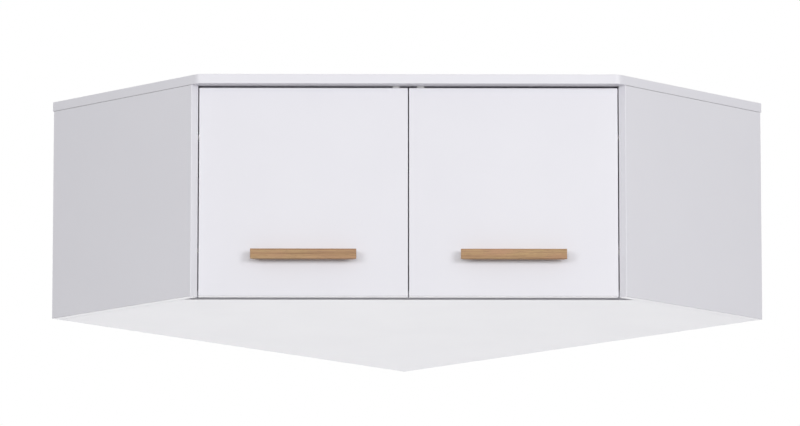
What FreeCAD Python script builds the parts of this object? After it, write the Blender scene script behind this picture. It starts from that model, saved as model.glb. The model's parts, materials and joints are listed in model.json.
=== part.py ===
import FreeCAD, Part
import math
import os

# Corner wall cabinet: a five-sided box for a room corner, with two doors across the diagonal front.
# Millimetres, +Z up, +X to the right seen from the front, and the front faces -Y.
# The origin lies on the underside, in the middle of the outline's width and depth.

V = FreeCAD.Vector
UP = V(0, 0, 1)
DOWN = V(0, 0, -1)
TO_BACK = V(0, 1, 0)
TO_FRONT = V(0, -1, 0)
TO_RIGHT = V(1, 0, 0)

# Directions in the frame of the left wall: away from the room corner, and off the wall
ALONG_WALL = V(1, 0, 0)
OFF_WALL = V(0, 1, 0)

# Carcass boards
WALL_LENGTH = 960.0  # along each wall, from the room corner to a side panel's outer face
SIDE_DEPTH = 385.0  # from the wall to a side panel's front end
HEIGHT = 420.0
BOARD = 18.0
BACK_BOARD = 3.0
BACK_REVEAL = 4.0  # the thin backs stop this far short of the visible outer edges
TOP_OVERHANG = 12.0  # of the top past the front corners of the side panels
TOP_CORNER_RADIUS = 20.0
EDGE_ROUND = 1.0
POST_SIZE = 40.0
RAIL_HEIGHT = 80.0
WALL_HOLE_RADIUS = 4.0
WALL_HOLE_SPACING = 600.0
WALL_HOLE_ROOM = 1.0  # the hole in the thin back is this much wider all round

# Doors
DOOR_BOARD = 18.0
SIDE_GAP = 1.5
MIDDLE_GAP = 2.0
TOP_GAP = 3.5
BOTTOM_GAP = 2.5
BOTTOM_SETBACK = 9.5  # from the doors' backs to the bottom panel, room for the swinging hinge edge

# Handles, a bar with undercut ends and a finger groove behind its lower half
HANDLE_LENGTH = 202.0
HANDLE_HEIGHT = 19.0
HANDLE_PROJECTION = 22.0
HANDLE_UNDERCUT = 20.0  # each end draws in by this much on its way to the door
HANDLE_RISE = 77.0  # middle of the handle above the door's lower edge
HANDLE_ROUND = 1.5
GROOVE_DEPTH = 12.0
GROOVE_HEIGHT = 8.5
GROOVE_ROUND = 4.0
HANDLE_SCREW_SPACING = 128.0
HANDLE_SCREW_RADIUS = 2.0
HANDLE_SCREW_GRIP = 13.0  # how far the screw reaches into the handle
HANDLE_SCREW_HEAD = 4.0
HANDLE_SCREW_HEAD_HEIGHT = 2.0

# Hinge cup and pin
HINGE_INSET = 90.0  # hinge middle from the door's upper or lower edge
CUP_RADIUS = 17.5
CUP_DEPTH = 11.5
CUP_WALL = 1.0
CUP_FROM_EDGE = 23.0
CUP_FLANGE = 1.2
CUP_RIM = 1.5  # width of the flange round the cup
WING_SCREW_SPACING = 48.0
WING_OFFSET = 6.0  # the two screws lie this far past the cup's middle
WING_WIDTH = 13.0
PIN_FROM_EDGE = 12.0
PIN_FROM_BACK = 7.0
PIN_RADIUS = 1.5
RUNNING_CLEARANCE = 0.08
LUG_GAP = 0.4  # between the arm's eye and the cup's lugs on both sides of it
PIN_SEAT = 4.0  # how far the pin reaches into each lug

# Hinge arm and its mounting plate
ARM_THICKNESS = 2.5
NECK_WIDTH = 10.0
NECK_CLEARANCE = 0.7  # between the swinging door edge and the neck
NECK_START = 10.0  # degrees, where the arm leaves the pin
EYE_RADIUS = 3.0
BEND_RADIUS = 3.0
CHANNEL_WIDTH = 18.0
CHANNEL_WALL = 1.5
CHANNEL_FOOT = 3.5  # the channel's side walls end this far above the side panel
ARM_REACH = 84.0  # end of the arm behind the side panel's front end
PLATE_HEIGHT = 9.0
PLATE_BASE = 2.4
PLATE_SCREW_SETBACK = 40.0
PLATE_SCREW_SPACING = 32.0
PLATE_WING_WIDTH = 15.0
PLATE_START = 34.0
PLATE_END = 80.0
PLATE_ROUND = 2.0
SLIDING_CLEARANCE = 0.3
ARM_SCREW_SETBACKS = (48.0, 68.0)
ARM_SCREW_RADIUS = 2.5
ARM_SCREW_HEAD = 4.2
ARM_SCREW_HEAD_HEIGHT = 2.0

# Door stops with magnets, under the top beside the meeting edges
STOP_FROM_MIDDLE = 23.0
STOP_WIDTH = 13.0
STOP_PLATE = 3.0
STOP_LIP_SETBACK = 3.0  # the stop's lip over the door starts this far behind the door's face
STOP_DROP = 20.0
STOP_LEG = 4.5
STOP_FOOT = 16.0
STOP_CLEARANCE = 0.3
MAGNET_RADIUS = 4.0
MAGNET_DEPTH = 3.0
MAGNET_DROP = 12.5  # magnet's middle below the top's underside
STRIKE_RADIUS = 7.0
STRIKE_THICKNESS = 1.2

# Hidden joints and small fasteners
FIT = 0.05  # room all round a fastener or an inlaid piece
CAM_RADIUS = 7.5
CAM_FLOOR = 0.3  # how far the cam reaches past the bolt
CAM_SETBACK = 24.0
CAM_END_MARGIN = 60.0  # cam fittings from the ends of a joint
CAM_BORE_ROOM = 0.4
BOLT_RADIUS = 3.2
BOLT_NECK = 2.0
BOLT_THREAD_RADIUS = 2.5
BOLT_THREAD_LENGTH = 11.0
DOWEL_RADIUS = 4.0
DOWEL_IN_FACE = 11.0
DOWEL_IN_EDGE = 19.0
DOWEL_END_MARGIN = 125.0
DOWEL_IN_POST = 15.0
RAIL_DOWEL_SPACING = 40.0
SCREW_RADIUS = 1.75
SCREW_HEAD_RADIUS = 3.5
SCREW_HEAD_HEIGHT = 1.8
SCREW_LENGTH = 14.0
BACK_SCREW_MARGIN = 90.0  # from the ends of the bottom panel's back edge
BACK_SCREWS_LOW = 5
UPRIGHT_SCREW_RISE = 45.0  # lowest screw of an upright above the bottom panel
UPRIGHT_SCREW_DROP = 30.0  # highest screw of an upright below the hanging rail
BACK_SCREWS_UPRIGHT = 2
RAIL_SCREW_DROP = 60.0
RAIL_SCREW_SPACING = 420.0
BACK_SCREWS_RAIL = 2

# Edges are picked for rounding by where they lie and which way they run
NEAR = 0.05
PARALLEL = 0.9

# Places that follow from the sizes above
WALL_TURN = 225.0  # degrees, from the front's direction to the left wall's
CAM_DEPTH = BOARD / 2.0 + BOLT_RADIUS + CAM_FLOOR
DIAGONAL = math.sqrt(2.0)
CORNER_Y = ((WALL_LENGTH + SIDE_DEPTH) / DIAGONAL + TOP_OVERHANG) / 2.0
SIDE_INNER = WALL_LENGTH - BOARD
CARCASS_TOP = HEIGHT - BOARD
DOOR_FRONT = CORNER_Y - (SIDE_INNER + SIDE_DEPTH) / DIAGONAL
DOOR_BACK = DOOR_FRONT + DOOR_BOARD
DOOR_EDGE_X = SIDE_GAP - (SIDE_INNER - SIDE_DEPTH) / DIAGONAL
DOOR_MEETING_X = -MIDDLE_GAP / 2.0
DOOR_MIDDLE_X = (DOOR_EDGE_X + DOOR_MEETING_X) / 2.0
DOOR_BOTTOM = BOTTOM_GAP
DOOR_TOP = CARCASS_TOP - TOP_GAP
BOTTOM_FRONT_SUM = (CORNER_Y - DOOR_BACK - BOTTOM_SETBACK) * DIAGONAL
BOTTOM_SIDE_END = BOTTOM_FRONT_SUM - SIDE_INNER
TOP_FRONT_SUM = WALL_LENGTH + SIDE_DEPTH + TOP_OVERHANG * DIAGONAL
RAIL_START = BACK_BOARD + POST_SIZE
RAIL_MIDDLE_Z = CARCASS_TOP - RAIL_HEIGHT / 2.0
RAIL_MIDDLE = (RAIL_START + SIDE_INNER) / 2.0
PIN = V(DOOR_EDGE_X + PIN_FROM_EDGE, DOOR_BACK - PIN_FROM_BACK, 0)
CUP_X = DOOR_EDGE_X + CUP_FROM_EDGE
HINGE_HEIGHTS = {"upper": DOOR_TOP - HINGE_INSET, "lower": DOOR_BOTTOM + HINGE_INSET}
WALL_FRAME = FreeCAD.Placement(V(0, CORNER_Y, 0), FreeCAD.Rotation(UP, WALL_TURN))


# Helpers

def at_wall(shape):
    """Place a shape drawn along the left wall: X from the room corner, Y off the wall."""
    placed = shape.copy()
    placed.Placement = WALL_FRAME.multiply(placed.Placement)
    return placed


def mirrored(shape):
    """The right half's copy of a shape of the left half."""
    return shape.mirror(V(0, 0, 0), TO_RIGHT)


def block(low, high):
    size = high - low
    return Part.makeBox(size.x, size.y, size.z, low)


def rod(radius, length, start, direction):
    return Part.makeCylinder(radius, length, start, direction)


def raised(shape, height):
    lifted = shape.copy()
    lifted.translate(UP * height)
    return lifted


def aimed(shape, place, direction):
    """Move a shape drawn along +Z so that it starts at place and points along direction."""
    moved = shape.copy()
    moved.Placement = FreeCAD.Placement(place, FreeCAD.Rotation(UP, direction))
    return moved


def laid(shape, place, x_axis, y_axis):
    """Move a shape so that its own X and Y axes point along the two given directions."""
    moved = shape.copy()
    turn = FreeCAD.Rotation(x_axis, y_axis, x_axis.cross(y_axis), "XYZ")
    moved.Placement = FreeCAD.Placement(place, turn)
    return moved


def turned(profile):
    """A solid of revolution about Z from its half section, given as radius and height."""
    points = [V(radius, 0, height) for radius, height in profile]
    face = Part.Face(Part.makePolygon(points + points[:1]))
    return face.revolve(V(0, 0, 0), UP, 360)


def outline(corners, radii):
    """A closed outline in the XY plane, with each corner rounded by its own radius."""
    edges = []
    previous_end = None
    first_start = None
    for index, corner in enumerate(corners):
        to_before = (corners[index - 1] - corner).normalize()
        to_after = (corners[(index + 1) % len(corners)] - corner).normalize()
        half_angle = to_before.getAngle(to_after) / 2.0
        reach = radii[index] / math.tan(half_angle)
        start = corner + to_before * reach
        end = corner + to_after * reach
        if previous_end is None:
            first_start = start
        else:
            edges.append(Part.makeLine(previous_end, start))
        if radii[index] > 0:
            inward = (to_before + to_after).normalize()
            middle = corner + inward * (radii[index] / math.sin(half_angle) - radii[index])
            edges.append(Part.Arc(start, middle, end).toShape())
        previous_end = end
    edges.append(Part.makeLine(previous_end, first_start))
    return Part.Wire(edges)


def plate(corners, radii, low, high):
    """A flat board between two heights, from its rounded outline."""
    face = Part.Face(outline(corners, radii))
    face.translate(UP * low)
    return face.extrude(UP * (high - low))


def rounded(solid, radius, chosen):
    """Round the edges of a solid that the chosen test picks by their middle point and direction."""
    edges = []
    for edge in solid.Edges:
        middle = edge.valueAt((edge.FirstParameter + edge.LastParameter) / 2.0)
        along = edge.tangentAt((edge.FirstParameter + edge.LastParameter) / 2.0)
        if chosen(middle, along):
            edges.append(edge)
    return solid.makeFillet(radius, edges)


def runs_along(direction, axis):
    return abs(direction.dot(axis)) > PARALLEL


def spread(first, last, count):
    """Evenly spaced values from the first to the last."""
    step = (last - first) / (count - 1)
    return [first + step * number for number in range(count)]


def without(solid, tools):
    return solid.cut(Part.makeCompound(tools)) if tools else solid


# Fasteners

def countersunk_screw(room=0.0):
    """A flat-head wood screw pointing along +Z, its head's top at the origin."""
    head = SCREW_HEAD_RADIUS + room
    shank = SCREW_RADIUS + room
    return turned([(0, 0), (head, 0), (shank, SCREW_HEAD_HEIGHT), (shank, SCREW_LENGTH), (0, SCREW_LENGTH)])


def pan_screw(radius, length, head_radius, head_height):
    """A pan-head screw pointing along +Z, the underside of its head at the origin."""
    crown = head_height / 2.0
    profile = [
        (0, -head_height),
        (head_radius - crown, -head_height),
        (head_radius, -crown),
        (head_radius, 0),
        (radius, 0),
        (radius, length),
        (0, length),
    ]
    return turned(profile)


def cam_bolt():
    """A connecting bolt along +Z: its head sits in the cam, its thread in the other board."""
    tip = CAM_SETBACK + BOLT_THREAD_LENGTH
    profile = [
        (0, -BOLT_NECK),
        (BOLT_RADIUS, -BOLT_NECK),
        (BOLT_RADIUS, 0),
        (BOLT_NECK, 0),
        (BOLT_NECK, CAM_RADIUS),
        (BOLT_RADIUS, CAM_RADIUS),
        (BOLT_RADIUS, CAM_SETBACK),
        (BOLT_THREAD_RADIUS, CAM_SETBACK),
        (BOLT_THREAD_RADIUS, tip),
        (0, tip),
    ]
    return turned(profile)


def cam_joint(seat, into, face):
    """A cam fitting at seat on a joint: into points to the bolt's board, face out of the cam's pocket."""
    centre = seat - into * CAM_SETBACK
    mouth = centre + face * (BOARD / 2.0)
    bore_start = centre - into * (BOLT_NECK + CAM_BORE_ROOM)
    bore = rod(BOLT_RADIUS + CAM_BORE_ROOM, CAM_SETBACK, bore_start, into)
    cam = rod(CAM_RADIUS, CAM_DEPTH, mouth, -face).cut(bore)
    pocket = rod(CAM_RADIUS + FIT, CAM_DEPTH, mouth, -face)
    shaft = rod(BOLT_RADIUS + FIT, CAM_SETBACK, centre, into)
    thread = rod(BOLT_THREAD_RADIUS + FIT, BOLT_THREAD_LENGTH, seat, into)
    bolt = aimed(cam_bolt(), centre, into)
    return {"cam": cam, "bolt": bolt, "cam_board": [pocket, shaft], "bolt_board": [thread]}


def dowel_joint(seat, into, in_face=DOWEL_IN_FACE):
    """A dowel across a joint, and the hole that both boards get for it."""
    start = seat - into * DOWEL_IN_EDGE
    length = DOWEL_IN_EDGE + in_face
    dowel = rod(DOWEL_RADIUS, length, start, into)
    hole = rod(DOWEL_RADIUS + FIT, length, start, into)
    return dowel, hole


# Carcass boards before drilling, the left ones drawn along the left wall

def side_panel():
    low = V(SIDE_INNER, BACK_BOARD, 0)
    panel = block(low, V(WALL_LENGTH, SIDE_DEPTH, CARCASS_TOP))

    def visible_edge(middle, along):
        at_front = middle.y > SIDE_DEPTH - NEAR and runs_along(along, UP)
        at_foot = middle.z < NEAR and runs_along(along, OFF_WALL)
        at_head = middle.z > CARCASS_TOP - NEAR and middle.x > WALL_LENGTH - NEAR
        return at_front or at_foot or at_head

    return rounded(panel, EDGE_ROUND, visible_edge)


def top_panel():
    front = TOP_FRONT_SUM - WALL_LENGTH
    corners = [V(0, 0), V(WALL_LENGTH, 0), V(WALL_LENGTH, front), V(front, WALL_LENGTH), V(0, WALL_LENGTH)]
    radii = [0, 0, TOP_CORNER_RADIUS, TOP_CORNER_RADIUS, 0]
    panel = plate(corners, radii, CARCASS_TOP, HEIGHT)

    def flat_edge(middle, along):
        behind = middle.x < NEAR or middle.y < NEAR
        return not runs_along(along, UP) and not behind

    return rounded(panel, EDGE_ROUND, flat_edge)


def bottom_panel():
    corners = [
        V(BACK_BOARD, BACK_BOARD),
        V(SIDE_INNER, BACK_BOARD),
        V(SIDE_INNER, BOTTOM_SIDE_END),
        V(BOTTOM_SIDE_END, SIDE_INNER),
        V(BACK_BOARD, SIDE_INNER),
    ]
    panel = plate(corners, [0] * len(corners), 0, BOARD)

    def inner_front_edge(middle, along):
        return abs(middle.x + middle.y - BOTTOM_FRONT_SUM) < NEAR and middle.z > BOARD - NEAR

    return rounded(panel, EDGE_ROUND, inner_front_edge)


def back_panel(start):
    return block(V(start, 0, BACK_REVEAL), V(WALL_LENGTH - BACK_REVEAL, BACK_BOARD, CARCASS_TOP))


def corner_post():
    high = V(RAIL_START, RAIL_START, CARCASS_TOP)
    post = block(V(BACK_BOARD, BACK_BOARD, BOARD), high)

    def room_edge(middle, along):
        return middle.x > RAIL_START - NEAR and middle.y > RAIL_START - NEAR

    return rounded(post, EDGE_ROUND, room_edge)


def hanging_rail():
    low = V(RAIL_START, BACK_BOARD, CARCASS_TOP - RAIL_HEIGHT)
    rail = block(low, V(SIDE_INNER, BACK_BOARD + BOARD, CARCASS_TOP))

    def lower_edge(middle, along):
        return middle.z < low.z + NEAR and middle.y > BACK_BOARD + BOARD - NEAR

    return rounded(rail, EDGE_ROUND, lower_edge)


# Joints between the boards

def cams_at_left():
    """The cam joints of the left half, with the boards of each: cam board, then bolt board."""
    joints = []
    side_middle = WALL_LENGTH - BOARD / 2.0
    rail_middle = BACK_BOARD + BOARD / 2.0
    for off_wall in (BACK_BOARD + CAM_END_MARGIN, SIDE_DEPTH - CAM_END_MARGIN):
        seat = V(side_middle, off_wall, CARCASS_TOP)
        joints.append(("side_panel", "top_panel", cam_joint(seat, UP, -ALONG_WALL)))
    for off_wall in (BACK_BOARD + CAM_END_MARGIN, BOTTOM_SIDE_END - CAM_END_MARGIN):
        seat = V(SIDE_INNER, off_wall, BOARD / 2.0)
        joints.append(("bottom_panel", "side_panel", cam_joint(seat, ALONG_WALL, UP)))
    for along_wall in (RAIL_START + CAM_END_MARGIN, SIDE_INNER - CAM_END_MARGIN):
        seat = V(along_wall, rail_middle, CARCASS_TOP)
        joints.append(("hanging_rail", "top_panel", cam_joint(seat, UP, OFF_WALL)))
    return joints


def dowels_at_left():
    """The dowels of the left half, each with the two boards it joins."""
    joints = []
    side_middle = WALL_LENGTH - BOARD / 2.0
    rail_middle = BACK_BOARD + BOARD / 2.0
    for off_wall in (BACK_BOARD + DOWEL_END_MARGIN, SIDE_DEPTH - DOWEL_END_MARGIN):
        joint = dowel_joint(V(side_middle, off_wall, CARCASS_TOP), UP)
        joints.append(("side_panel", "top_panel", joint))
    for off_wall in (BACK_BOARD + DOWEL_END_MARGIN, BOTTOM_SIDE_END - DOWEL_END_MARGIN):
        joint = dowel_joint(V(SIDE_INNER, off_wall, BOARD / 2.0), ALONG_WALL)
        joints.append(("bottom_panel", "side_panel", joint))
    half = RAIL_DOWEL_SPACING / 2.0
    for height in (RAIL_MIDDLE_Z - half, RAIL_MIDDLE_Z + half):
        joint = dowel_joint(V(SIDE_INNER, rail_middle, height), ALONG_WALL)
        joints.append(("hanging_rail", "side_panel", joint))
        joint = dowel_joint(V(RAIL_START, rail_middle, height), -ALONG_WALL, DOWEL_IN_POST)
        joints.append(("hanging_rail", "corner_post", joint))
    return joints


def post_dowels():
    middle = BACK_BOARD + POST_SIZE / 2.0
    low = dowel_joint(V(middle, middle, BOARD), DOWN)
    high = dowel_joint(V(middle, middle, CARCASS_TOP), UP)
    return [("corner_post", "bottom_panel", low), ("corner_post", "top_panel", high)]


def back_screws_at_left():
    """The screws through the left thin back, each with the board that it bites into."""
    places = []
    for along in spread(RAIL_START + BACK_SCREW_MARGIN, SIDE_INNER - BACK_SCREW_MARGIN, BACK_SCREWS_LOW):
        places.append(("bottom_panel", V(along, 0, BOARD / 2.0)))
    lowest = BOARD + UPRIGHT_SCREW_RISE
    highest = CARCASS_TOP - RAIL_HEIGHT - UPRIGHT_SCREW_DROP
    for height in spread(lowest, highest, BACK_SCREWS_UPRIGHT):
        places.append(("side_panel", V(WALL_LENGTH - BOARD / 2.0, 0, height)))
        places.append(("corner_post", V(BACK_BOARD + POST_SIZE / 2.0, 0, height)))
    half = RAIL_SCREW_SPACING / 2.0
    for along in spread(RAIL_MIDDLE - half, RAIL_MIDDLE + half, BACK_SCREWS_RAIL):
        places.append(("hanging_rail", V(along, 0, CARCASS_TOP - RAIL_SCREW_DROP)))
    return places


def wall_holes(radius):
    """The two wall screws' holes through the left rail and back."""
    half = WALL_HOLE_SPACING / 2.0
    holes = []
    for along in (RAIL_MIDDLE - half, RAIL_MIDDLE + half):
        holes.append(rod(radius, BACK_BOARD + BOARD, V(along, 0, RAIL_MIDDLE_Z), OFF_WALL))
    return holes


# Door and handle

def door():
    low = V(DOOR_EDGE_X, DOOR_FRONT, DOOR_BOTTOM)
    panel = block(low, V(DOOR_MEETING_X, DOOR_BACK, DOOR_TOP))
    return panel.makeFillet(EDGE_ROUND, panel.Edges)


def handle():
    """The oak bar: wide in front, drawn in at both ends, hollowed behind its lower half."""
    front = HANDLE_LENGTH / 2.0
    back = front - HANDLE_UNDERCUT
    half = HANDLE_HEIGHT / 2.0
    corners = [V(-back, 0), V(-front, -HANDLE_PROJECTION), V(front, -HANDLE_PROJECTION), V(back, 0)]
    bar = plate(corners, [0] * len(corners), -half, half)

    def front_edge(middle, along):
        return middle.y < NEAR - HANDLE_PROJECTION

    bar = rounded(bar, HANDLE_ROUND, front_edge)
    groove_corners = [
        V(-half - GROOVE_HEIGHT, FIT),
        V(-half - GROOVE_HEIGHT, -GROOVE_DEPTH),
        V(GROOVE_HEIGHT - half, -GROOVE_DEPTH),
        V(GROOVE_HEIGHT - half, FIT),
    ]
    groove = plate(groove_corners, [0, 0, GROOVE_ROUND, 0], -HANDLE_LENGTH, HANDLE_LENGTH)
    return bar.cut(laid(groove, V(0, 0, 0), UP, TO_BACK))


def handle_screw_places():
    half = HANDLE_SCREW_SPACING / 2.0
    grip_middle = GROOVE_HEIGHT / 2.0
    height = DOOR_BOTTOM + HANDLE_RISE + grip_middle
    return [V(DOOR_MIDDLE_X + side, DOOR_BACK, height) for side in (-half, half)]


def handle_screws():
    length = DOOR_BOARD + HANDLE_SCREW_GRIP
    screw = pan_screw(HANDLE_SCREW_RADIUS, length, HANDLE_SCREW_HEAD, HANDLE_SCREW_HEAD_HEIGHT)
    return [aimed(screw, place, TO_FRONT) for place in handle_screw_places()]


def handle_screw_holes():
    length = DOOR_BOARD + HANDLE_SCREW_GRIP
    return [rod(HANDLE_SCREW_RADIUS + FIT, length, place, TO_FRONT) for place in handle_screw_places()]


# Hinge, drawn with its middle at height zero

def wing_screw_places():
    half = WING_SCREW_SPACING / 2.0
    return [V(CUP_X + WING_OFFSET, DOOR_BACK + CUP_FLANGE, side) for side in (-half, half)]


def hinge_pin():
    half = NECK_WIDTH / 2.0 + LUG_GAP + PIN_SEAT
    return rod(PIN_RADIUS, 2 * half, PIN - UP * half, UP)


def pin_lugs():
    """Two blocks inside the cup that hold the pin's ends, one on each side of the arm's eye."""
    seat = V(CUP_X, DOOR_BACK - CUP_DEPTH, 0)
    inside = rod(CUP_RADIUS - CUP_WALL / 2.0, CUP_DEPTH, seat, TO_BACK)
    start = NECK_WIDTH / 2.0 + LUG_GAP
    low = V(PIN.x - EYE_RADIUS, seat.y, start)
    lug = block(low, V(PIN.x + EYE_RADIUS, PIN.y + EYE_RADIUS, CUP_RADIUS)).common(inside)
    return [lug, lug.mirror(V(0, 0, 0), UP)]


def hinge_cup():
    """The cup let into the door's back, with a rim and two screw wings."""
    inner = CUP_RADIUS - CUP_WALL
    rim = CUP_RADIUS + CUP_RIM
    top = CUP_DEPTH + CUP_FLANGE
    shell = [
        (0, 0),
        (CUP_RADIUS, 0),
        (CUP_RADIUS, CUP_DEPTH),
        (rim, CUP_DEPTH),
        (rim, top),
        (inner, top),
        (inner, CUP_WALL),
        (0, CUP_WALL),
    ]
    seat = V(CUP_X, DOOR_BACK - CUP_DEPTH, 0)
    cup = aimed(turned(shell), seat, TO_BACK)
    half_long = WING_SCREW_SPACING / 2.0 + WING_WIDTH / 2.0
    left = WING_OFFSET - WING_WIDTH / 2.0
    right = WING_OFFSET + WING_WIDTH / 2.0
    corners = [V(left, -half_long), V(right, -half_long), V(right, half_long), V(left, half_long)]
    wings = plate(corners, [WING_WIDTH / 2.0 - FIT] * len(corners), 0, CUP_FLANGE)
    wings = laid(wings, V(CUP_X, DOOR_BACK, 0), TO_RIGHT, DOWN)
    mouth = rod(inner, top, seat, TO_BACK)
    body = cup.fuse([wings.cut(mouth)] + pin_lugs()).removeSplitter()
    return body.cut(Part.makeCompound(cup_screws(FIT) + [hinge_pin()]))


def cup_screws(room=0.0):
    return [aimed(countersunk_screw(room), place, TO_FRONT) for place in wing_screw_places()]


def cup_pocket():
    return rod(CUP_RADIUS + FIT, CUP_DEPTH, V(CUP_X, DOOR_BACK - CUP_DEPTH, 0), TO_BACK)


def wall_point(along, off):
    """A point on the floor plan, from its distances along and off the left wall."""
    return WALL_FRAME.multVec(V(along, off, 0))


def meeting_point(along, level_y):
    """Where a line beside the side panel, this far along the wall, reaches a given Y."""
    return wall_point(along, (CORNER_Y - level_y) * DIAGONAL - along)


def arm_neck():
    """The arm's bent strip: out of the cup in an arc round the pin, then back along the side panel."""
    half = ARM_THICKNESS / 2.0
    near = math.hypot(PIN_FROM_EDGE, PIN_FROM_BACK) + NECK_CLEARANCE
    far = near + ARM_THICKNESS
    start = math.radians(NECK_START)
    seat = SIDE_INNER - PLATE_HEIGHT
    outside = seat - ARM_THICKNESS
    end = SIDE_DEPTH - ARM_REACH

    def round_pin(radius, angle):
        return PIN + V(math.cos(angle), math.sin(angle)) * radius

    across = V(-math.sin(start), math.cos(start)) * half
    near_start = start + math.asin(half / near)
    far_start = start - math.asin(half / far)
    upright = math.pi / 2.0
    near_bend = meeting_point(seat, PIN.y + near)
    far_bend = meeting_point(outside, PIN.y + far)
    near_arc = [round_pin(near, angle) for angle in spread(near_start, upright, 3)]
    far_arc = [round_pin(far, angle) for angle in spread(upright, far_start, 3)]
    edges = [
        Part.makeLine(PIN + across, near_arc[0]),
        Part.Arc(*near_arc).toShape(),
        Part.makeLine(near_arc[2], near_bend),
        Part.makeLine(near_bend, wall_point(seat, end)),
        Part.makeLine(wall_point(seat, end), wall_point(outside, end)),
        Part.makeLine(wall_point(outside, end), far_bend),
        Part.makeLine(far_bend, far_arc[0]),
        Part.Arc(*far_arc).toShape(),
        Part.makeLine(far_arc[2], PIN - across),
        Part.makeLine(PIN - across, PIN + across),
    ]
    strip = Part.Face(Part.Wire(edges)).extrude(UP * NECK_WIDTH)

    def inner_bend(middle, along):
        return runs_along(along, UP) and math.dist(middle[:2], near_bend[:2]) < NEAR

    def outer_bend(middle, along):
        return runs_along(along, UP) and math.dist(middle[:2], far_bend[:2]) < NEAR

    strip = rounded(strip, BEND_RADIUS, inner_bend)
    strip = rounded(strip, BEND_RADIUS + ARM_THICKNESS, outer_bend)
    strip.translate(DOWN * (NECK_WIDTH / 2.0))
    return strip


def arm_channel():
    """The arm's rear end: a channel that sits over the mounting plate."""
    half = CHANNEL_WIDTH / 2.0
    hollow = half - CHANNEL_WALL
    top = SIDE_INNER - PLATE_HEIGHT - ARM_THICKNESS
    foot = SIDE_INNER - CHANNEL_FOOT
    rear = SIDE_DEPTH - ARM_REACH
    front = SIDE_DEPTH - PLATE_START
    shell = block(V(top, rear, -half), V(foot, front, half))

    def top_corner(middle, along):
        return middle.x < top + NEAR and runs_along(along, OFF_WALL)

    shell = rounded(shell, CHANNEL_WALL, top_corner)
    inside = block(V(SIDE_INNER - PLATE_HEIGHT, rear - FIT, -hollow), V(foot + FIT, front + FIT, hollow))
    return at_wall(shell.cut(inside))


def arm_screw_places():
    top = SIDE_INNER - PLATE_HEIGHT - ARM_THICKNESS
    return [V(top, SIDE_DEPTH - setback, 0) for setback in ARM_SCREW_SETBACKS]


def arm_screw_length():
    return ARM_THICKNESS + PLATE_HEIGHT - PLATE_BASE


def arm_screws():
    screw = pan_screw(ARM_SCREW_RADIUS, arm_screw_length(), ARM_SCREW_HEAD, ARM_SCREW_HEAD_HEIGHT)
    return [at_wall(aimed(screw, place, ALONG_WALL)) for place in arm_screw_places()]


def arm_screw_holes():
    radius = ARM_SCREW_RADIUS + FIT
    return [at_wall(rod(radius, arm_screw_length(), place, ALONG_WALL)) for place in arm_screw_places()]


def hinge_arm():
    eye = rod(EYE_RADIUS, NECK_WIDTH, PIN - UP * (NECK_WIDTH / 2.0), UP)
    body = arm_neck().fuse([eye, arm_channel()]).removeSplitter()
    bore = rod(PIN_RADIUS + RUNNING_CLEARANCE, 2 * NECK_WIDTH, PIN - UP * NECK_WIDTH, UP)
    return body.cut(Part.makeCompound(arm_screw_holes() + [bore]))


def plate_screw_places():
    half = PLATE_SCREW_SPACING / 2.0
    top = SIDE_INNER - PLATE_BASE
    return [V(top, SIDE_DEPTH - PLATE_SCREW_SETBACK, side) for side in (-half, half)]


def plate_screws(room=0.0):
    return [at_wall(aimed(countersunk_screw(room), place, ALONG_WALL)) for place in plate_screw_places()]


def mounting_plate():
    """The plate on the side panel: a cross wing for its screws and a rib that the arm's channel sits on."""
    half_wing = PLATE_SCREW_SPACING / 2.0 + PLATE_WING_WIDTH / 2.0
    half_width = PLATE_WING_WIDTH / 2.0
    corners = [
        V(-half_width, -half_wing),
        V(half_width, -half_wing),
        V(half_width, half_wing),
        V(-half_width, half_wing),
    ]
    wing = plate(corners, [half_width - FIT] * len(corners), 0, PLATE_BASE)
    wing = laid(wing, V(SIDE_INNER, SIDE_DEPTH - PLATE_SCREW_SETBACK, 0), -OFF_WALL, UP)
    half_rib = CHANNEL_WIDTH / 2.0 - CHANNEL_WALL - SLIDING_CLEARANCE
    low = V(SIDE_INNER - PLATE_HEIGHT, SIDE_DEPTH - PLATE_END, -half_rib)
    rib = block(low, V(SIDE_INNER, SIDE_DEPTH - PLATE_START, half_rib))

    def upright_edge(middle, along):
        return runs_along(along, ALONG_WALL)

    rib = rounded(rib, PLATE_ROUND, upright_edge)
    body = at_wall(wing.fuse(rib).removeSplitter())
    return body.cut(Part.makeCompound(plate_screws(FIT) + arm_screw_holes()))


# Door stops, magnets and strikes

def stop_leg_front():
    return DOOR_BACK + STOP_CLEARANCE


def stop_screw_place():
    along = stop_leg_front() + STOP_LEG + STOP_FOOT / 2.0
    return V(-STOP_FROM_MIDDLE, along, CARCASS_TOP - STOP_PLATE)


def door_stop():
    """A plastic angle under the top: a lip over the door, a leg behind it and a foot for its screw."""
    lip = DOOR_FRONT + STOP_LIP_SETBACK
    leg = stop_leg_front()
    back = leg + STOP_LEG
    foot = back + STOP_FOOT
    under = CARCASS_TOP - STOP_PLATE
    low = CARCASS_TOP - STOP_DROP
    section = [
        V(lip, CARCASS_TOP),
        V(lip, under),
        V(leg, under),
        V(leg, low),
        V(back, low),
        V(back, under),
        V(foot, under),
        V(foot, CARCASS_TOP),
    ]
    soft = EDGE_ROUND
    body = plate(section, [0, soft, 0, soft, soft, soft, soft, 0], 0, STOP_WIDTH)
    body = laid(body, V(-STOP_FROM_MIDDLE - STOP_WIDTH / 2.0, 0, 0), TO_BACK, UP)
    screw_hole = aimed(countersunk_screw(FIT), stop_screw_place(), UP)
    return body.cut(Part.makeCompound([magnet(FIT), screw_hole]))


def magnet_place():
    return V(-STOP_FROM_MIDDLE, stop_leg_front(), CARCASS_TOP - MAGNET_DROP)


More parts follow.
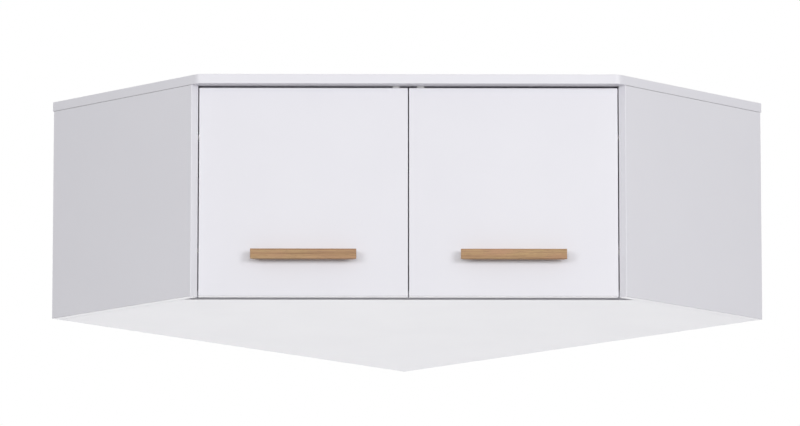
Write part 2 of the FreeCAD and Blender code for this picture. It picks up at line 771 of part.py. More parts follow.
def magnet(room=0.0):
    return rod(MAGNET_RADIUS + room, MAGNET_DEPTH, magnet_place(), TO_BACK)


def strike_place():
    return V(-STOP_FROM_MIDDLE, DOOR_BACK, CARCASS_TOP - MAGNET_DROP)


def strike_screw(room=0.0):
    return aimed(countersunk_screw(room), strike_place(), TO_FRONT)


def strike_plate(room=0.0):
    return rod(STRIKE_RADIUS + room, STRIKE_THICKNESS, strike_place(), TO_FRONT)


# Assembly

def gather():
    """Every node of the cabinet: its undrilled solids, and the holes that its boards get."""
    boards = {
        "left_side_panel": at_wall(side_panel()),
        "left_hanging_rail": at_wall(hanging_rail()),
        "top_panel": at_wall(top_panel()),
        "bottom_panel": at_wall(bottom_panel()),
        "corner_post": at_wall(corner_post()),
        "left_back_panel": at_wall(back_panel(BACK_BOARD)),
        "right_back_panel": mirrored(at_wall(back_panel(0))),
    }
    holes = {name: [] for name in boards}
    groups = {"cam_locks": [], "cam_bolts": [], "dowels": [], "back_panel_screws": []}

    def drill(board, tools):
        """Drill a left board once, and a board that both halves share on both sides."""
        if board in ("side_panel", "hanging_rail"):
            holes["left_" + board].extend(tools)
        else:
            holes[board].extend(tools + [mirrored(tool) for tool in tools])

    def collect(group, solid):
        groups[group].extend([solid, mirrored(solid)])

    for cam_board, bolt_board, joint in cams_at_left():
        collect("cam_locks", at_wall(joint["cam"]))
        collect("cam_bolts", at_wall(joint["bolt"]))
        drill(cam_board, [at_wall(tool) for tool in joint["cam_board"]])
        drill(bolt_board, [at_wall(tool) for tool in joint["bolt_board"]])
    for first, second, (dowel, hole) in dowels_at_left():
        collect("dowels", at_wall(dowel))
        drill(first, [at_wall(hole)])
        drill(second, [at_wall(hole)])
    for first, second, (dowel, hole) in post_dowels():
        groups["dowels"].append(at_wall(dowel))
        holes[first].append(at_wall(hole))
        holes[second].append(at_wall(hole))
    for board, place in back_screws_at_left():
        collect("back_panel_screws", at_wall(aimed(countersunk_screw(), place, OFF_WALL)))
        hole = at_wall(aimed(countersunk_screw(FIT), place, OFF_WALL))
        drill(board, [hole])
        holes["left_back_panel"].append(hole)
        holes["right_back_panel"].append(mirrored(hole))
    drill("hanging_rail", [at_wall(tool) for tool in wall_holes(WALL_HOLE_RADIUS)])
    for tool in wall_holes(WALL_HOLE_RADIUS + WALL_HOLE_ROOM):
        holes["left_back_panel"].append(at_wall(tool))
        holes["right_back_panel"].append(mirrored(at_wall(tool)))
    stop_screw_hole = aimed(countersunk_screw(FIT), stop_screw_place(), UP)
    drill("top_panel", [stop_screw_hole])
    return boards, holes, groups


def hinge_nodes():
    """The left door's two hinges, and the holes that they need in the door and in the side panel."""
    solids = {
        "cup": hinge_cup(),
        "arm": hinge_arm(),
        "plate": mounting_plate(),
    }
    fixings = {
        "left_hinge_pins": [hinge_pin()],
        "left_hinge_cup_screws": cup_screws(),
        "left_hinge_arm_screws": arm_screws(),
        "left_hinge_plate_screws": plate_screws(),
    }
    nodes = {name: [] for name in fixings}
    door_holes = []
    side_holes = []
    for level, height in HINGE_HEIGHTS.items():
        for piece, solid in solids.items():
            nodes[f"left_{level}_hinge_{piece}"] = [raised(solid, height)]
        for name, group in fixings.items():
            nodes[name].extend(raised(solid, height) for solid in group)
        door_holes.extend(raised(tool, height) for tool in [cup_pocket()] + cup_screws(FIT))
        side_holes.extend(raised(tool, height) for tool in plate_screws(FIT))
    return nodes, door_holes, side_holes


def left_half(boards, holes):
    """Everything that comes once on the left and once, mirrored, on the right."""
    nodes, hinge_pockets, plate_holes = hinge_nodes()
    holes["left_side_panel"].extend(plate_holes)
    screw_holes = handle_screw_holes()
    bar = handle()
    bar.translate(V(DOOR_MIDDLE_X, DOOR_FRONT, DOOR_BOTTOM + HANDLE_RISE))
    door_tools = hinge_pockets + screw_holes + [strike_plate(FIT), strike_screw(FIT)]
    nodes["left_door"] = [without(door(), door_tools)]
    nodes["left_handle"] = [without(bar, screw_holes)]
    nodes["left_handle_screws"] = handle_screws()
    nodes["left_door_stop"] = [door_stop()]
    nodes["left_magnet"] = [magnet()]
    nodes["left_stop_screw"] = [aimed(countersunk_screw(), stop_screw_place(), UP)]
    nodes["left_strike_plate"] = [strike_plate().cut(strike_screw(FIT))]
    nodes["left_strike_screw"] = [strike_screw()]
    for name in ("left_side_panel", "left_hanging_rail"):
        nodes[name] = [without(boards[name], holes[name])]
    return nodes


def assemble():
    boards, holes, nodes = gather()
    halves = left_half(boards, holes)
    nodes.update(halves)
    for name, solids in halves.items():
        nodes[name.replace("left_", "right_", 1)] = [mirrored(solid) for solid in solids]
    for name in ("top_panel", "bottom_panel", "corner_post", "left_back_panel", "right_back_panel"):
        nodes[name] = [without(boards[name], holes[name])]
    return nodes


def export(nodes):
    os.makedirs("parts", exist_ok=True)
    for name, solids in sorted(nodes.items()):
        pieces = [solid for shape in solids for solid in shape.Solids]
        shape = pieces[0] if len(pieces) == 1 else Part.makeCompound(pieces)
        shape.exportStep(f"parts/{name}.step")


export(assemble())
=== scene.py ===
import json
import math

import bmesh
import bpy
import numpy as np
from mathutils import Matrix, Vector


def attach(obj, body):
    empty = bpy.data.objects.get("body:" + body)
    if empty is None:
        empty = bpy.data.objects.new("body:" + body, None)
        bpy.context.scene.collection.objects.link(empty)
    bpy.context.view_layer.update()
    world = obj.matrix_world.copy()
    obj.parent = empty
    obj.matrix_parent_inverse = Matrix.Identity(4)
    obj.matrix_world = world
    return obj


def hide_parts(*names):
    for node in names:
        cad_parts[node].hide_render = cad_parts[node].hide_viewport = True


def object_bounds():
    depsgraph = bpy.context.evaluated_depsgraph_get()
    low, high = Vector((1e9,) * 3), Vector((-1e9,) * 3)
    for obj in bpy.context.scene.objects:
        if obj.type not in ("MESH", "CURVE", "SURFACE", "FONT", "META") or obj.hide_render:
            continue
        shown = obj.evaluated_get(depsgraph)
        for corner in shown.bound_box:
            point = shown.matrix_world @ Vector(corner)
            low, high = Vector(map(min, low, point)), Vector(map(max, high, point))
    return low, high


# White corner wall cabinet: finishes, fastener recesses, studio light and camera, in metres

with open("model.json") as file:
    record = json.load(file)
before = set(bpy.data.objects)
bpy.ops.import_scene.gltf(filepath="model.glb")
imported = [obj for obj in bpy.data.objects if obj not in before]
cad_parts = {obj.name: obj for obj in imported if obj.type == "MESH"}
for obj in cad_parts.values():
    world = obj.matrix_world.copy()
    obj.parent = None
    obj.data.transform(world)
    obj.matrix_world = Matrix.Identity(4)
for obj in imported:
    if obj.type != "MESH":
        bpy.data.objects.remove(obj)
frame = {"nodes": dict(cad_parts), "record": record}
cad_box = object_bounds()
nodes = frame["nodes"]
subparts = frame["record"]["subparts"]
bodies = frame["record"]["behaviour"]["bodies"]
body_of_node = {node: body for body, group in bodies.items() for node in group}

SIDES = {"left": -1.0, "right": 1.0}
TO_RIGHT = Vector((1, 0, 0))
TO_BACK = Vector((0, 1, 0))
UP = Vector((0, 0, 1))
MIDDLE = (cad_box[0] + cad_box[1]) / 2
DIAGONAL = math.sqrt(0.5)  # both walls stand at 45 degrees to the front


def along_wall(side):
    """Away from the room corner, along the left or the right wall."""
    return Vector((SIDES[side] * DIAGONAL, -DIAGONAL, 0))


def off_wall(side):
    """Square off the left or the right wall, into the room."""
    return Vector((-SIDES[side] * DIAGONAL, -DIAGONAL, 0))


# Node graphs

# A colour Mix node's sockets are counted, because its other kinds have sockets of the same names
MIX_SHARE, MIX_FIRST, MIX_SECOND = 0, 6, 7
MIX_RESULT = 2


class Finish:
    """A material whose node tree is built by short calls; a socket is linked, any other value is set."""

    def __init__(self, name):
        self.material = bpy.data.materials.new(name)
        self.material.use_nodes = True
        self.tree = self.material.node_tree
        self.shader = self.tree.nodes["Principled BSDF"]

    def feed(self, socket, value):
        if isinstance(value, bpy.types.NodeSocket):
            self.tree.links.new(value, socket)
        else:
            socket.default_value = value

    def add(self, kind, inputs, **settings):
        made = self.tree.nodes.new(kind)
        for key, value in settings.items():
            setattr(made, key, value)
        for key, value in inputs.items():
            self.feed(made.inputs[key], value)
        return made

    def own_place(self):
        """The object's own coordinates."""
        return self.add("ShaderNodeTexCoord", {}).outputs["Object"]

    def stretch(self, vector, scale):
        return self.add("ShaderNodeMapping", {"Vector": vector, "Scale": scale}).outputs[0]

    def noise(self, vector, scale, detail=2.0, roughness=0.5, distortion=0.0):
        inputs = {
            "Vector": vector,
            "Scale": scale,
            "Detail": detail,
            "Roughness": roughness,
            "Distortion": distortion,
        }
        return self.add("ShaderNodeTexNoise", inputs).outputs["Fac"]

    def grain(self, vector, along, across, detail=2.0, roughness=0.5):
        """Noise drawn out along X, so many waves to the metre along and across it."""
        return self.noise(self.stretch(vector, (along, across, across)), 1.0, detail, roughness)

    def cells(self, vector, scale, output="Distance"):
        return self.add("ShaderNodeTexVoronoi", {"Vector": vector, "Scale": scale}).outputs[output]

    def remap(self, value, old, new=(0.0, 1.0)):
        """Carry a value from one range, as (low, high), to another."""
        inputs = {
            "Value": value,
            "From Min": old[0],
            "From Max": old[1],
            "To Min": new[0],
            "To Max": new[1],
        }
        return self.add("ShaderNodeMapRange", inputs).outputs["Result"]

    def maths(self, operation, first, second):
        return self.add("ShaderNodeMath", {0: first, 1: second}, operation=operation).outputs[0]

    def ramp(self, value, stops):
        """A colour ramp from (position, colour) pairs."""
        made = self.add("ShaderNodeValToRGB", {"Fac": value})
        elements = made.color_ramp.elements
        while len(elements) < len(stops):
            elements.new(0.5)
        for element, (position, colour) in zip(elements, stops):
            element.position = position
            element.color = (*colour, 1.0)
        return made.outputs["Color"]

    def blend(self, share, first, second, mode="MIX"):
        """Two colours mixed by a share."""
        made = self.add("ShaderNodeMix", {MIX_SHARE: share}, data_type="RGBA", blend_type=mode)
        for place, value in ((MIX_FIRST, first), (MIX_SECOND, second)):
            colour = value if isinstance(value, bpy.types.NodeSocket) else (*value, 1.0)
            self.feed(made.inputs[place], colour)
        return made.outputs[MIX_RESULT]

    def bump(self, height, strength, distance):
        inputs = {"Height": height, "Strength": strength, "Distance": distance}
        return self.add("ShaderNodeBump", inputs).outputs["Normal"]

    def shade(self, **sockets):
        """Set or link the shader's own sockets, with spaces in their names written as _."""
        for key, value in sockets.items():
            self.feed(self.shader.inputs[key.replace("_", " ")], value)
        return self.material


# Finishes

WHITE = (0.800, 0.792, 0.840)
WHITE_DEEP = (0.792, 0.784, 0.833)
MOST = (0.3, 0.7)  # nearly all values of a noise lie in here
MANY = (0.35, 0.65)  # the larger part of them
FINE_RELIEF = 0.0001  # height of a surface's texture
COARSE_RELIEF = 0.0002
CHIP_RELIEF = 0.0004
CHIPS_PER_METRE = 420.0
CHIP_FLATNESS = 2.2
GRAIN_SWAY = 0.003


def white_laminate():
    """Melamine-faced board: a fine pearl in the surface and a faint unevenness of gloss and tone."""
    coat = Finish("white_laminate")
    own = coat.own_place()
    cloud = coat.noise(own, scale=7.0, detail=3.0)
    pearl = coat.noise(own, scale=1100.0)
    colour = coat.blend(coat.remap(cloud, MANY), WHITE, WHITE_DEEP)
    gloss = coat.remap(cloud, MOST, (0.40, 0.43))
    normal = coat.bump(pearl, strength=0.10, distance=FINE_RELIEF)
    return coat.shade(Base_Color=colour, Roughness=gloss, Normal=normal)


def edge_band():
    """The plastic band glued on a board's narrow edges: finely mottled, about as glossy as the faces."""
    coat = Finish("white_edge_band")
    own = coat.own_place()
    mottle = coat.noise(own, scale=260.0)
    cloud = coat.noise(own, scale=9.0)
    colour = coat.blend(coat.remap(cloud, MANY), WHITE, WHITE_DEEP)
    gloss = coat.remap(mottle, MOST, (0.37, 0.44))
    normal = coat.bump(mottle, strength=0.08, distance=FINE_RELIEF)
    return coat.shade(Base_Color=colour, Roughness=gloss, Normal=normal)


def chipboard():
    """Raw cut chipboard: pale and dark chips pressed together, each a little dished."""
    coat = Finish("raw_chipboard")
    dark, middle, pale = (0.16, 0.09, 0.045), (0.36, 0.24, 0.13), (0.56, 0.42, 0.26)
    dust_and_shade = (0.25, 0.16, 0.08)
    own = coat.own_place()
    pressed = coat.stretch(own, (1.0, 1.0, CHIP_FLATNESS))
    chip = coat.cells(pressed, CHIPS_PER_METRE, "Color")
    tone = coat.add("ShaderNodeSeparateColor", {"Color": chip}).outputs[0]
    colour = coat.ramp(tone, [(0.0, dark), (0.35, middle), (1.0, pale)])
    fine = coat.noise(own, scale=1500.0, detail=3.0)
    colour = coat.blend(coat.remap(fine, MOST, (0.0, 0.35)), colour, dust_and_shade)
    dish = coat.cells(pressed, CHIPS_PER_METRE)
    normal = coat.bump(dish, strength=0.5, distance=CHIP_RELIEF)
    return coat.shade(Base_Color=colour, Roughness=0.85, Normal=normal)


def oak():
    """Rift-sawn oak, grain along the bar: late-wood streaks, a slow drift of hue and open pores."""
    coat = Finish("oak")
    dark, middle, pale = (0.285, 0.152, 0.070), (0.425, 0.250, 0.124), (0.505, 0.322, 0.170)
    redder, greener = (1.0, 0.93, 0.98), (0.97, 1.0, 0.92)
    pore_brown = (0.150, 0.078, 0.034)
    streak_share, fibre_share, pore_share = 0.6, 0.4, 0.6
    pore_edge = (0.60, 0.68)
    own = coat.own_place()
    sway = coat.grain(own, along=9.0, across=14.0)
    rise = coat.remap(sway, (0.0, 1.0), (-GRAIN_SWAY, GRAIN_SWAY))
    lift = coat.add("ShaderNodeCombineXYZ", {"Z": rise}).outputs[0]
    bent = coat.add("ShaderNodeVectorMath", {0: own, 1: lift}, operation="ADD").outputs[0]
    streak = coat.grain(bent, along=2.5, across=300.0, detail=3.0, roughness=0.55)
    fibre = coat.grain(bent, along=18.0, across=1400.0, detail=3.0, roughness=0.6)
    pores = coat.grain(bent, along=70.0, across=2200.0, detail=1.0)
    drift = coat.grain(own, along=12.0, across=40.0)
    broad = coat.maths("MULTIPLY", streak, streak_share)
    narrow = coat.maths("MULTIPLY", fibre, fibre_share)
    tone = coat.maths("ADD", broad, narrow)
    colour = coat.ramp(tone, [(0.36, dark), (0.49, middle), (0.64, pale)])
    hue = coat.blend(coat.remap(drift, MANY), redder, greener)
    colour = coat.blend(1.0, colour, hue, "MULTIPLY")
    open_pore = coat.remap(pores, pore_edge)
    colour = coat.blend(coat.maths("MULTIPLY", open_pore, pore_share), colour, pore_brown)
    gloss = coat.remap(fibre, MOST, (0.42, 0.56))
    relief = coat.maths("SUBTRACT", fibre, open_pore)
    normal = coat.bump(relief, strength=0.22, distance=COARSE_RELIEF)
    return coat.shade(Base_Color=colour, Roughness=gloss, Normal=normal)


def hardboard():
    """Thin brown fibreboard: matted fibres in many browns."""
    coat = Finish("brown_hardboard")
    dark, middle, pale = (0.13, 0.072, 0.035), (0.235, 0.14, 0.072), (0.36, 0.235, 0.13)
    stain = (0.19, 0.11, 0.055)
    own = coat.own_place()
    mat = coat.noise(own, scale=900.0, detail=4.0, roughness=0.65, distortion=0.8)
    cloud = coat.noise(own, scale=14.0, detail=3.0)
    colour = coat.ramp(mat, [(0.30, dark), (0.52, middle), (0.75, pale)])
    colour = coat.blend(coat.remap(cloud, MOST, (0.0, 0.3)), colour, stain)
    normal = coat.bump(mat, strength=0.2, distance=COARSE_RELIEF)
    return coat.shade(Base_Color=colour, Roughness=0.72, Normal=normal)


def lacquered_hardboard():
    """The thin back's inner face: white lacquer over fibres that still show a little."""
    coat = Finish("lacquered_hardboard")
    pale, dull = (0.780, 0.772, 0.795), (0.760, 0.752, 0.775)
    own = coat.own_place()
    mat = coat.noise(own, scale=520.0, detail=3.0, roughness=0.6)
    cloud = coat.noise(own, scale=8.0)
    colour = coat.blend(coat.remap(cloud, MOST), pale, dull)
    normal = coat.bump(mat, strength=0.14, distance=COARSE_RELIEF)
    return coat.shade(Base_Color=colour, Roughness=0.55, Normal=normal)


def beech():
    """Dowel wood: pale with short brown flecks."""
    coat = Finish("beech")
    dark, middle, pale = (0.36, 0.20, 0.10), (0.50, 0.31, 0.17), (0.56, 0.37, 0.22)
    fleck = coat.noise(coat.own_place(), scale=600.0)
    colour = coat.ramp(fleck, [(0.35, dark), (0.55, middle), (0.75, pale)])
    normal = coat.bump(fleck, strength=0.2, distance=COARSE_RELIEF)
    return coat.shade(Base_Color=colour, Roughness=0.7, Normal=normal)


def metal(name, bright, dull, rough, grain):
    """Bare or plated metal: a satin gloss that varies, with a fine grain and duller clouds."""
    coat = Finish(name)
    fine_share = 0.5
    uneven_range = (0.4, 1.1)
    rough_range = (rough - 0.06, rough + 0.10)
    own = coat.own_place()
    cloud = coat.noise(own, scale=90.0, detail=3.0)
    fine = coat.noise(own, scale=grain)
    colour = coat.blend(coat.remap(cloud, MOST), bright, dull)
    uneven = coat.maths("ADD", cloud, coat.maths("MULTIPLY", fine, fine_share))
    gloss = coat.remap(uneven, uneven_range, rough_range)
    normal = coat.bump(fine, strength=0.12, distance=FINE_RELIEF)
    return coat.shade(Base_Color=colour, Metallic=1.0, Roughness=gloss, Normal=normal)


def white_plastic():
    """Moulded white plastic with a fine spark texture."""
    coat = Finish("white_plastic")
    pale, dull = (0.83, 0.83, 0.82), (0.79, 0.79, 0.78)
    own = coat.own_place()
    spark = coat.noise(own, scale=1800.0)
    cloud = coat.noise(own, scale=60.0)
    colour = coat.blend(coat.remap(cloud, MOST), pale, dull)
    gloss = coat.remap(spark, MOST, (0.34, 0.48))
    normal = coat.bump(spark, strength=0.15, distance=FINE_RELIEF)
    return coat.shade(Base_Color=colour, Roughness=gloss, Normal=normal)


def painted_joint_shade():
    """Painted shade for the open joint under the top: a dark grey on the bare upper end of a side panel.
    """
    coat = Finish("painted_joint_shade")
    dark, pale = (0.11, 0.107, 0.112), (0.18, 0.176, 0.182)
    own = coat.own_place()
    dust_and_shade = coat.noise(own, scale=40.0, detail=4.0)
    grit = coat.noise(own, scale=900.0)
    # The dark greys are painted shade in place of the shadow in the joint; the noise only varies it
    colour = coat.blend(coat.remap(dust_and_shade, MOST), dark, pale)
    normal = coat.bump(grit, strength=0.3, distance=COARSE_RELIEF)
    return coat.shade(Base_Color=colour, Roughness=0.9, Normal=normal)


LAMINATE = white_laminate()
BAND = edge_band()
RAW = chipboard()
# Painted shade for the joint under the top, given to the side panels' upper ends
JOINT_SHADE = painted_joint_shade()
HARDBOARD = hardboard()
LACQUERED = lacquered_hardboard()

# Finishes of the record's material slots that cover a node all over
PLAIN = {
    "oak": oak(),
    "beech": beech(),
    "nickel": metal(
        "nickel_plate", bright=(0.52, 0.503, 0.478), dull=(0.43, 0.417, 0.396), rough=0.36, grain=2600.0
    ),
    "zinc_plated_steel": metal(
        "zinc_plate", bright=(0.60, 0.61, 0.63), dull=(0.48, 0.49, 0.52), rough=0.30, grain=2200.0
    ),
    "die_cast_zinc": metal(
        "die_cast_zinc", bright=(0.46, 0.465, 0.48), dull=(0.38, 0.385, 0.40), rough=0.42, grain=1700.0
    ),
    "white_plastic": white_plastic(),
    "magnet": metal(
        "sintered_magnet", bright=(0.10, 0.10, 0.105), dull=(0.07, 0.07, 0.075), rough=0.45, grain=1500.0
    ),
}


# Board faces: laminate on wide faces, band on edges, raw chipboard where a board was cut or drilled,
# painted shade on the side panels' upper ends

FACING = 0.9  # a face looks in a direction if the cosine between them is over this
UPWARD = 0.1  # the same for the upper end of a side panel, with its rounded edge
UNIT_NORMAL = 0.9  # a face of the hull with no area has a shorter one
HOLE_DEPTH = 0.002  # a face deeper inside the outline than this is in a hole
WIDE, BANDED, DRILLED, BARE = range(4)  # a board's material slots
TO_WALL, TO_ROOM = range(2)  # a thin back's material slots


def give(mesh, *finishes):
    """Set a mesh's material slots."""
    mesh.materials.clear()
    for finish in finishes:
        mesh.materials.append(finish)


def hull_planes(mesh):
    """The planes round a board's convex outline, as unit normals and offsets."""
    shell = bmesh.new()
    shell.from_mesh(mesh)
    hull = bmesh.ops.convex_hull(shell, input=shell.verts)["geom"]
    faces = [face for face in hull if isinstance(face, bmesh.types.BMFace)]
    normals = np.array([face.normal for face in faces])
    offsets = np.array([face.normal.dot(face.verts[0].co) for face in faces])
    shell.free()
    keep = np.linalg.norm(normals, axis=1) > UNIT_NORMAL
    return normals[keep], offsets[keep]


def dress_board(node, axis, bare=None, bare_finish=RAW):
    """Give a board's wide faces, banded edges, bare edges and drilled holes their own finishes."""
    mesh = nodes[node].data
    give(mesh, LAMINATE, BAND, RAW, bare_finish)
    normals, offsets = hull_planes(mesh)
    for polygon in mesh.polygons:
        depth = (offsets - normals @ np.array(polygon.center)).min()
        if depth > HOLE_DEPTH:
            polygon.material_index = DRILLED
        elif abs(polygon.normal.dot(axis)) > FACING:
            polygon.material_index = WIDE
        elif bare is not None and bare(polygon):
            polygon.material_index = BARE
        else:
            polygon.material_index = BANDED


def faces_a_wall(polygon):
    return any(polygon.normal.dot(off_wall(side)) < -FACING for side in SIDES)


def faces_up(polygon):
    return polygon.normal.z > UPWARD


def dress_back(side):
    """A thin back: lacquered towards the room, bare brown towards the wall and on its edges."""
    mesh = nodes[f"{side}_back_panel"].data
    give(mesh, HARDBOARD, LACQUERED)
    for polygon in mesh.polygons:
        inner = polygon.normal.dot(off_wall(side)) > FACING
        polygon.material_index = TO_ROOM if inner else TO_WALL


for subpart in subparts:
    if subpart["material_slot"] in PLAIN:
        give(nodes[subpart["node"]].data, PLAIN[subpart["material_slot"]])

dress_board("top_panel", UP, faces_a_wall)
dress_board("bottom_panel", UP)
dress_board("corner_post", off_wall("left"))
for side in SIDES:
    dress_back(side)
    dress_board(f"{side}_door", TO_BACK)
    # The side panels' upper ends, under the top, take the painted joint shade
    dress_board(f"{side}_side_panel", along_wall(side), faces_up, JOINT_SHADE)
    dress_board(f"{side}_hanging_rail", off_wall(side))


# Fasteners: a cross recess in the head of every screw and in the face of every cam lock

WELD = 1e-6  # points closer than this are one point
NEAR = 1e-4  # points this close to an end belong to its rim
RADIUS_DIGITS = 4  # ends whose radii agree to a tenth of a millimetre count as equal
RECESS_REACH = 0.56  # half the cross, as a share of the head's radius
RECESS_ARM = 0.15  # half the width of its arms
RECESS_DEPTH = 0.40
RECESS_FLOOR = 0.45  # size of the recess at its floor against its mouth
RECESS_RISE = 0.05  # how far the cutter stands out of the head
SCREW_TURN = math.radians(137.5)  # each screw ends at another angle
SMOOTH_BELOW = math.radians(35)


def linked(name, data):
    made = bpy.data.objects.new(name, data)
    bpy.context.scene.collection.objects.link(made)
    return made


def welded_solids(node):
    """A node's mesh with its seams closed, and the points of each separate solid in it."""
    shell = bmesh.new()
    shell.from_mesh(nodes[node].data)
    bmesh.ops.remove_doubles(shell, verts=shell.verts, dist=WELD)
    seen = set()
    solids = []
    for first in shell.verts:
        if first in seen:
            continue
        seen.add(first)
        todo = [first]
        solids.append([])
        while todo:
            point = todo.pop()
            solids[-1].append(point.co.copy())
            for edge in point.link_edges:
                other = edge.other_vert(point)
                if other not in seen:
                    seen.add(other)
                    todo.append(other)
    mesh = bpy.data.meshes.new(f"{node}_recessed")
    shell.to_mesh(mesh)
    shell.free()
    return mesh, solids


def fastener_axes(node, points):
    """The three directions that a fastener is square to: the doors' own, or those of its wall."""
    if body_of_node[node] != "carcass":
        return TO_RIGHT, TO_BACK, UP
    side = "left" if points[0].x < 0 else "right"
    return along_wall(side), off_wall(side), UP


def driven_end(node, points):
    """The middle, the outward direction and the radius of the end that a driver turns.

    It is the wider end or, where both are alike, the one that looks into the cabinet."""
    axes = np.array(fastener_axes(node, points))
    spots = np.array(points) @ axes.T
    spans = np.ptp(spots, axis=0)
    lengthwise = int(np.argmax(abs(spans - np.median(spans))))
    middle = (spots.min(axis=0) + spots.max(axis=0)) / 2
    ends = []
    for sign in (-1.0, 1.0):
        end = middle.copy()
        end[lengthwise] += sign * spans[lengthwise] / 2
        rim = spots[abs(spots[:, lengthwise] - end[lengthwise]) < NEAR]
        radius = float(np.linalg.norm(rim - end, axis=1).max())
        place = Vector(end @ axes)
        outward = Vector(sign * axes[lengthwise])
        ends.append((round(radius, RADIUS_DIGITS), outward.dot(MIDDLE - place), place, outward))
    radius, _, place, outward = max(ends, key=lambda end: end[:2])
    return place, outward, radius


def cross_outline(reach, arm):
    """The twelve corners of a cross, counter-clockwise."""
    corners = []
    for quarter in range(4):
        turn = Matrix.Rotation(quarter * math.pi / 2, 2)
        corners += [turn @ Vector(spot) for spot in ((reach, -arm), (reach, arm), (arm, arm))]
    return corners


def add_recess(shell, place, outward, radius, turn):
    """Add one tapered cross to a cutter, sunk into a head."""
    stand = outward.to_track_quat("Z", "Y").to_matrix() @ Matrix.Rotation(turn, 3, "Z")
    rings = []
    for share, height in ((1.0, RECESS_RISE), (RECESS_FLOOR, -RECESS_DEPTH)):
        outline = cross_outline(RECESS_REACH * radius * share, RECESS_ARM * radius * share)
        spots = [place + stand @ Vector((*spot, height * radius)) for spot in outline]
        rings.append([shell.verts.new(spot) for spot in spots])
    mouth, floor = rings
    shell.faces.new(mouth)
    shell.faces.new(reversed(floor))
    for index in range(len(mouth)):
        shell.faces.new((mouth[index - 1], floor[index - 1], floor[index], mouth[index]))


def recess(node, slot):
    """Replace a fastener node by its own shape with a recess in every head."""
    mesh, solids = welded_solids(node)
    shell = bmesh.new()
    for index, points in enumerate(solids):
        add_recess(shell, *driven_end(node, points), index * SCREW_TURN)
    cutter_mesh = bpy.data.meshes.new("cutter")
    shell.to_mesh(cutter_mesh)
    shell.free()
    cutter = linked("cutter", cutter_mesh)
    piece = linked(f"{node}_recessed", mesh)
    cut = piece.modifiers.new("recess", "BOOLEAN")
    cut.operation = "DIFFERENCE"
    cut.solver = "EXACT"
    cut.object = cutter
    finished = piece.evaluated_get(bpy.context.evaluated_depsgraph_get())
    piece.data = bpy.data.meshes.new_from_object(finished)
    piece.modifiers.clear()
    bpy.data.objects.remove(cutter)
    piece.data.polygons.foreach_set("use_smooth", [True] * len(piece.data.polygons))
    piece.data.set_sharp_from_angle(angle=SMOOTH_BELOW)
    give(piece.data, PLAIN[slot])
    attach(piece, body_of_node[node])
    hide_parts(node)


for subpart in subparts:
    if subpart["node"].endswith(("_screw", "_screws", "_locks")):
        recess(subpart["node"], subpart["material_slot"])


# Stage

FLOOR_DROP = 3.0
FLOOR_SIZE = 60.0
FLOOR_GREY = (0.55, 0.55, 0.55, 1.0)
FLOOR_GLOW = 0.76  # makes the lit floor look white
PURE_WHITE = (1, 1, 1, 1)
WORLD_LIGHT = 0.485
LAMPS = {
    "key": {"place": (3.0, -4.5, 0.8), "width": 2.0, "height": 1.5, "power": 81.0},
    "left_fill": {"place": (-3.0, -4.5, 0.8), "width": 2.0, "height": 1.5, "power": 55.0},
    "front": {"place": (0.0, -5.2, 0.8), "width": 2.6, "height": 1.5, "power": 33.0},
    "from_below": {"place": (0.0, 4.2, -2.2), "width": 3.2, "height": 1.6, "power": 69.0},
}


def seen_directly(tree):
    """One for rays from the camera and for those that a glossy or clear surface sends on, else zero."""
    path = tree.nodes.new("ShaderNodeLightPath")
    total = path.outputs["Is Camera Ray"]
    for kind in ("Is Glossy Ray", "Is Transmission Ray"):
        either = tree.nodes.new("ShaderNodeMath")
        either.operation = "MAXIMUM"
        tree.links.new(total, either.inputs[0])
        tree.links.new(path.outputs[kind], either.inputs[1])
        total = either.outputs[0]
    return total


def pale_floor():
    """A plain pale floor far below the hung cabinet: it keeps the shadow and is clear from underneath."""
    half = FLOOR_SIZE / 2
    mesh = bpy.data.meshes.new("floor")
    corners = [(x * half, y * half, -FLOOR_DROP) for x, y in ((-1, -1), (1, -1), (1, 1), (-1, 1))]
    mesh.from_pydata(corners, [], [(0, 1, 2, 3)])
    floor = linked("floor", mesh)
    coat = Finish("pale_floor")
    coat.shade(Base_Color=FLOOR_GREY, Roughness=0.9, Specular_IOR_Level=0.0)
    glow = coat.maths("MULTIPLY", seen_directly(coat.tree), FLOOR_GLOW)
    coat.shade(Emission_Color=PURE_WHITE, Emission_Strength=glow)
    clear = coat.add("ShaderNodeBsdfTransparent", {})
    underneath = coat.add("ShaderNodeNewGeometry", {}).outputs["Backfacing"]
    mix = coat.add("ShaderNodeMixShader", {0: underneath, 1: coat.shader.outputs[0], 2: clear.outputs[0]})
    coat.feed(coat.tree.nodes["Material Output"].inputs["Surface"], mix.outputs[0])
    give(mesh, coat.material)


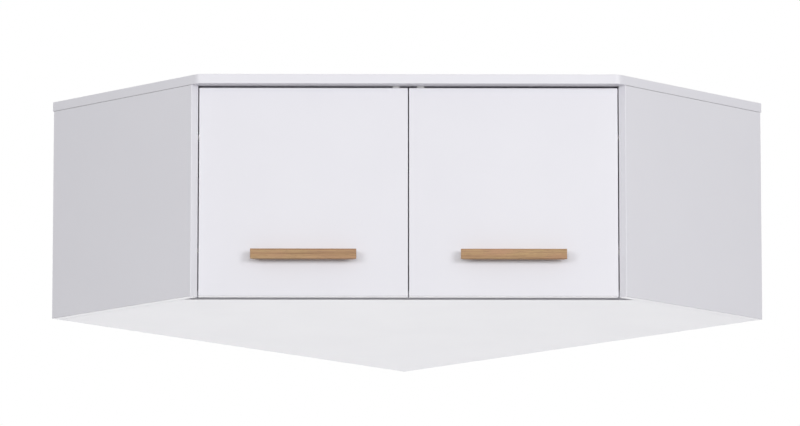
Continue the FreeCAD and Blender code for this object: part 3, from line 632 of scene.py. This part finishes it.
def white_world():
    """Soft light from all round, over a background that is plain white to look at and in reflections."""
    world = bpy.data.worlds.new("studio")
    bpy.context.scene.world = world
    world.use_nodes = True
    tree = world.node_tree
    tree.nodes.clear()
    light = tree.nodes.new("ShaderNodeBackground")
    light.inputs["Strength"].default_value = WORLD_LIGHT
    white = tree.nodes.new("ShaderNodeBackground")
    for background in (light, white):
        background.inputs["Color"].default_value = PURE_WHITE
    mix = tree.nodes.new("ShaderNodeMixShader")
    tree.links.new(seen_directly(tree), mix.inputs["Fac"])
    tree.links.new(light.outputs[0], mix.inputs[1])
    tree.links.new(white.outputs[0], mix.inputs[2])
    output = tree.nodes.new("ShaderNodeOutputWorld")
    tree.links.new(mix.outputs[0], output.inputs["Surface"])


def look(thing, place, aim):
    """Put a lamp or a camera at a place and turn it to its aim."""
    thing.location = place
    thing.rotation_euler = (aim - place).to_track_quat("-Z", "Y").to_euler()


def softbox(name, place, width, height, power):
    """A rectangular studio lamp that looks at the middle of the cabinet."""
    lamp = bpy.data.lights.new(name, "AREA")
    lamp.shape = "RECTANGLE"
    lamp.size = width
    lamp.size_y = height
    lamp.energy = power
    look(linked(name, lamp), Vector(place), MIDDLE)


pale_floor()
white_world()
for name, lamp in LAMPS.items():
    softbox(name, **lamp)


# Camera, at the photograph's angle: a little below the cabinet and almost square to its front

PHOTO_WIDTH = 800
PHOTO_HEIGHT = 426
CAMERA_DISTANCE = 12.0  # far off, because the photograph's edges hardly converge
CAMERA_REACH = 200.0
CAMERA_BELOW = math.radians(10.19)
CAMERA_YAW = math.radians(0.5)
FOCAL_PIXELS = 6424.0  # focal length in pixels of the photograph
FRONT_MIDDLE_PIXEL = (408.6, 184.4)


def photo_camera():
    """A camera that puts the middle of the cabinet's front at its pixel in the photograph."""
    front = Vector((0, cad_box[0].y, MIDDLE.z))
    forward = Vector((math.sin(CAMERA_YAW), math.cos(CAMERA_YAW), math.tan(CAMERA_BELOW))).normalized()
    right = forward.cross(UP).normalized()
    above = right.cross(forward)
    pixel = CAMERA_DISTANCE / FOCAL_PIXELS
    across = (PHOTO_WIDTH / 2 - FRONT_MIDDLE_PIXEL[0]) * pixel
    down = (PHOTO_HEIGHT / 2 - FRONT_MIDDLE_PIXEL[1]) * pixel
    lens = bpy.data.cameras.new("camera")
    lens.lens = FOCAL_PIXELS / PHOTO_WIDTH * lens.sensor_width
    lens.clip_end = CAMERA_REACH
    camera = linked("camera", lens)
    look(camera, front - forward * CAMERA_DISTANCE, front + right * across - above * down)
    bpy.context.scene.camera = camera


photo_camera()
bpy.context.scene.view_settings.view_transform = "Standard"
